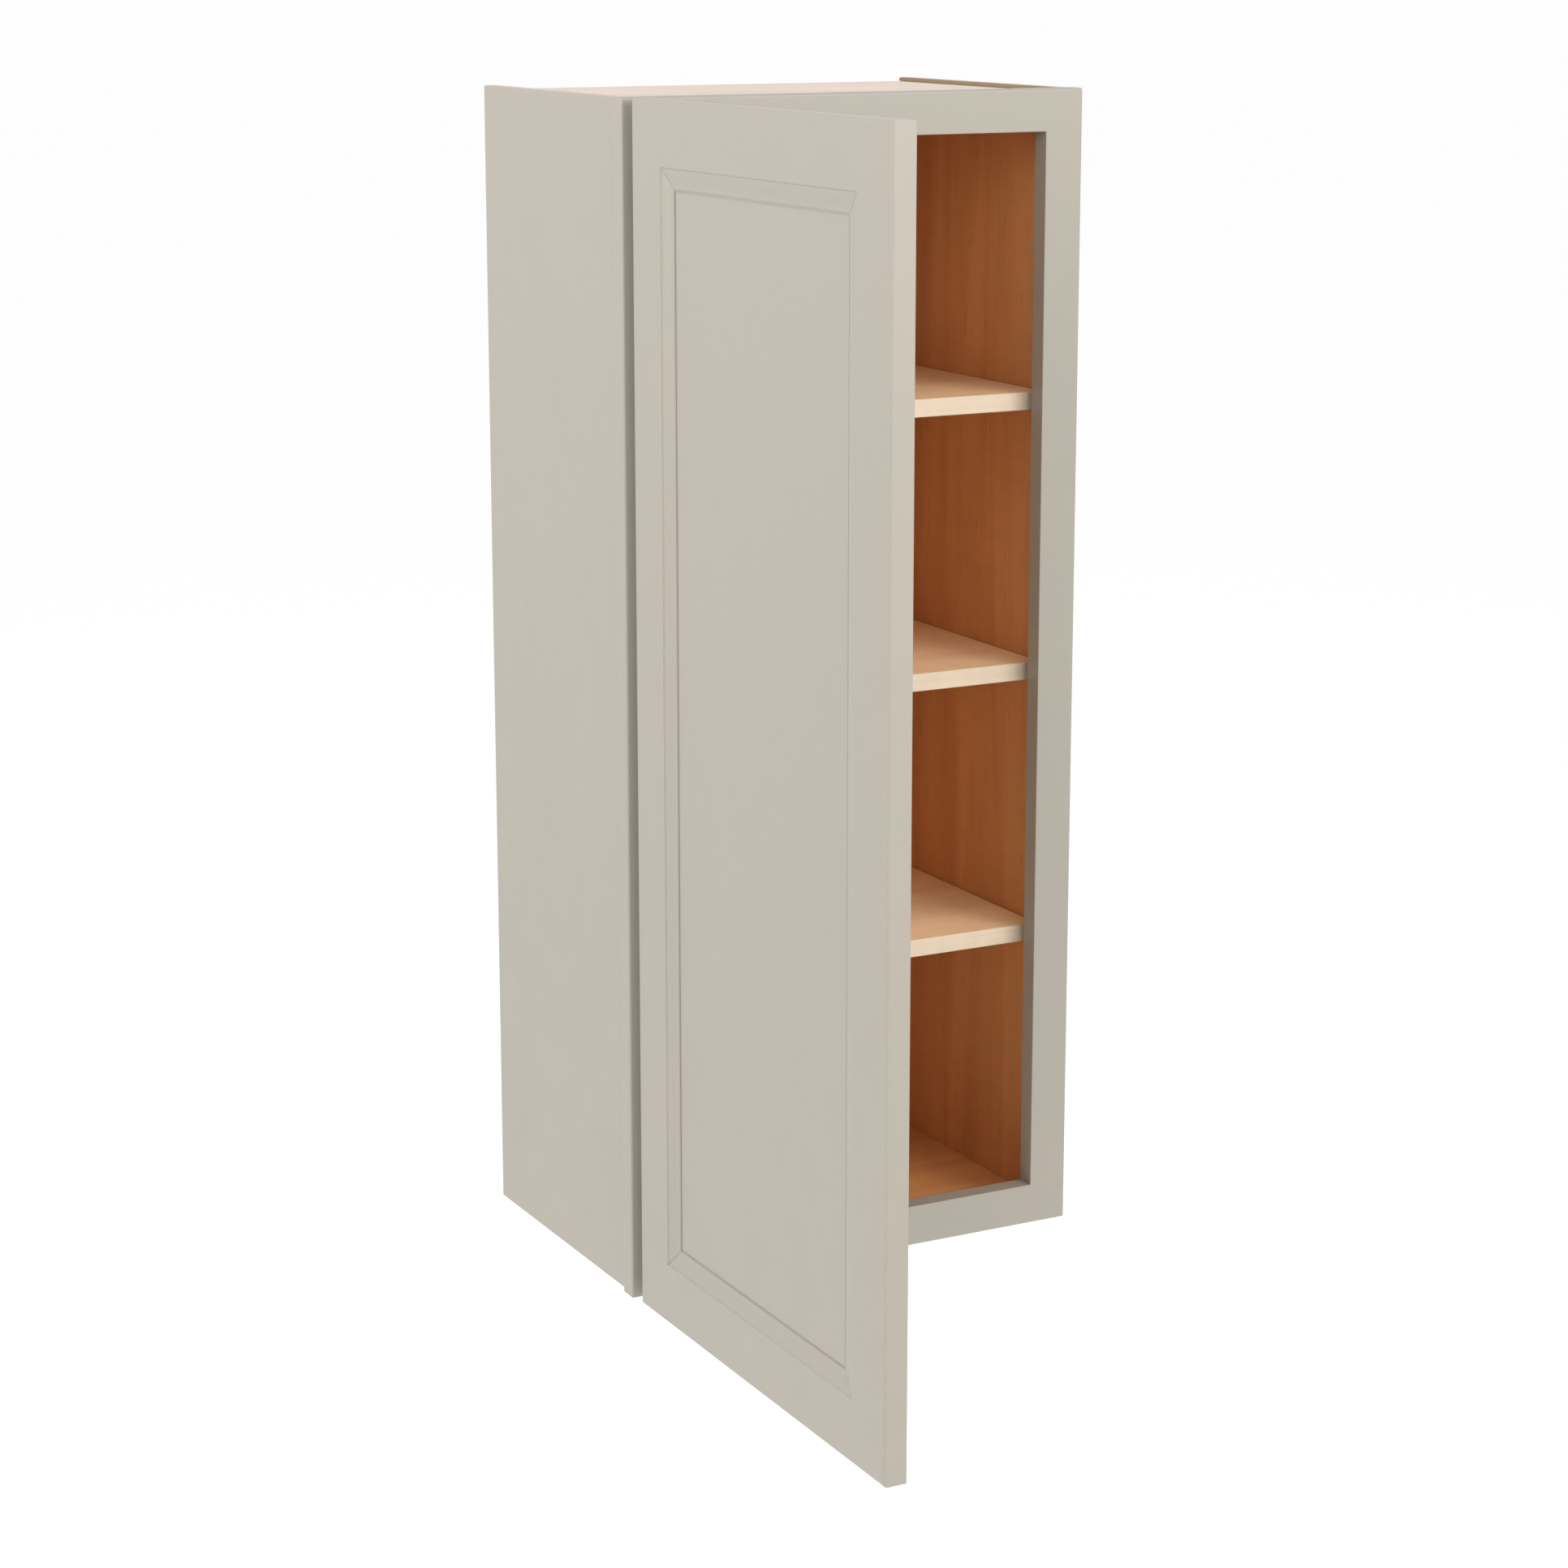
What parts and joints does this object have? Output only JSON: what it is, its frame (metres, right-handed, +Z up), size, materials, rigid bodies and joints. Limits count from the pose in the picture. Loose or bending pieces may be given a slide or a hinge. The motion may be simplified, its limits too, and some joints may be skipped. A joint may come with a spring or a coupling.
{
  "type": "hanging wall cabinet",
  "caption": "Tall narrow framed wall cabinet with a left-hinged, full-overlay recessed-panel door standing open on loose shelves.",
  "frame": {"origin": "centre of the upper hanging rail's rear face, in the plane of the wall", "axes": "+X to the right seen from the front, +Y into the wall, +Z up"},
  "size_m": [0.4572, 0.7614, 1.0668],
  "materials": {
    "greige_paint": "satin paint on wood",
    "bare_maple": "unstained maple veneer, matte",
    "stained_maple": "stained maple veneer, clear satin coat",
    "shelf_maple": "natural maple veneer with a pale front edge band, satin",
    "plywood": "sanded plywood",
    "nickel": "nickel plated",
    "zinc": "zinc plated",
    "clear_rubber": "clear soft plastic"
  },
  "bodies": {
    "cabinet": {"frame_left_stile": "greige_paint", "frame_right_stile": "greige_paint", "frame_top_rail": "greige_paint", "frame_bottom_rail": "greige_paint", "left_side_panel": "stained_maple", "right_side_panel": "stained_maple", "top_panel": "bare_maple", "bottom_panel": "stained_maple", "back_panel": "stained_maple", "upper_hanging_rail": "plywood", "lower_hanging_rail": "plywood", "pin_lower_left_front": "zinc", "pin_lower_left_rear": "zinc", "pin_lower_right_front": "zinc", "pin_lower_right_rear": "zinc", "pin_middle_left_front": "zinc", "pin_middle_left_rear": "zinc", "pin_middle_right_front": "zinc", "pin_middle_right_rear": "zinc", "pin_upper_left_front": "zinc", "pin_upper_left_rear": "zinc", "pin_upper_right_front": "zinc", "pin_upper_right_rear": "zinc", "hinge_arm_lower": "nickel", "hinge_arm_middle": "nickel", "hinge_arm_upper": "nickel", "arm_screw_lower_1": "zinc", "arm_screw_lower_2": "zinc", "arm_screw_middle_1": "zinc", "arm_screw_middle_2": "zinc", "arm_screw_upper_1": "zinc", "arm_screw_upper_2": "zinc"},
    "door": {"door_hinge_stile": "greige_paint", "door_free_stile": "greige_paint", "door_top_rail": "greige_paint", "door_bottom_rail": "greige_paint", "door_centre_panel": "greige_paint", "hinge_cup_lower": "nickel", "hinge_cup_middle": "nickel", "hinge_cup_upper": "nickel", "cup_screw_lower_1": "zinc", "cup_screw_lower_2": "zinc", "cup_screw_middle_1": "zinc", "cup_screw_middle_2": "zinc", "cup_screw_upper_1": "zinc", "cup_screw_upper_2": "zinc", "bumper_lower": "clear_rubber", "bumper_upper": "clear_rubber"},
    "shelf_lower": {"shelf_lower": "shelf_maple"},
    "shelf_middle": {"shelf_middle": "shelf_maple"},
    "shelf_upper": {"shelf_upper": "shelf_maple"},
    "hinge_link_lower": {"hinge_link_lower": "nickel"},
    "hinge_link_middle": {"hinge_link_middle": "nickel"},
    "hinge_link_upper": {"hinge_link_upper": "nickel"}
  },
  "joints": [
    {"name": "door_hinge", "type": "hinge", "parent": "cabinet", "child": "door", "pos_m": [-0.2187, -0.3205, -0.4786], "axis": [0, 0, 1], "range_deg": [-15, 90]},
    {"name": "link_lower_pivot", "type": "hinge", "parent": "cabinet", "child": "hinge_link_lower", "pos_m": [-0.1894, -0.3117, -0.9231], "axis": [0, 0, 1], "range_deg": [-33, 6]},
    {"name": "link_middle_pivot", "type": "hinge", "parent": "cabinet", "child": "hinge_link_middle", "pos_m": [-0.1894, -0.3117, -0.4786], "axis": [0, 0, 1], "range_deg": [-33, 6]},
    {"name": "link_upper_pivot", "type": "hinge", "parent": "cabinet", "child": "hinge_link_upper", "pos_m": [-0.1894, -0.3117, -0.0341], "axis": [0, 0, 1], "range_deg": [-33, 6]},
    {"name": "shelf_lower_lift", "type": "slide", "parent": "cabinet", "child": "shelf_lower", "axis": [0, 0, 1], "range_m": [0, 0.025]},
    {"name": "shelf_middle_lift", "type": "slide", "parent": "cabinet", "child": "shelf_middle", "axis": [0, 0, 1], "range_m": [0, 0.025]},
    {"name": "shelf_upper_lift", "type": "slide", "parent": "cabinet", "child": "shelf_upper", "axis": [0, 0, 1], "range_m": [0, 0.025]}
  ],
  "couplings": [
    {"joint": "link_lower_pivot", "follows": "door_hinge", "ratio": -0.3626},
    {"joint": "link_middle_pivot", "follows": "door_hinge", "ratio": -0.3626},
    {"joint": "link_upper_pivot", "follows": "door_hinge", "ratio": -0.3626}
  ]
}
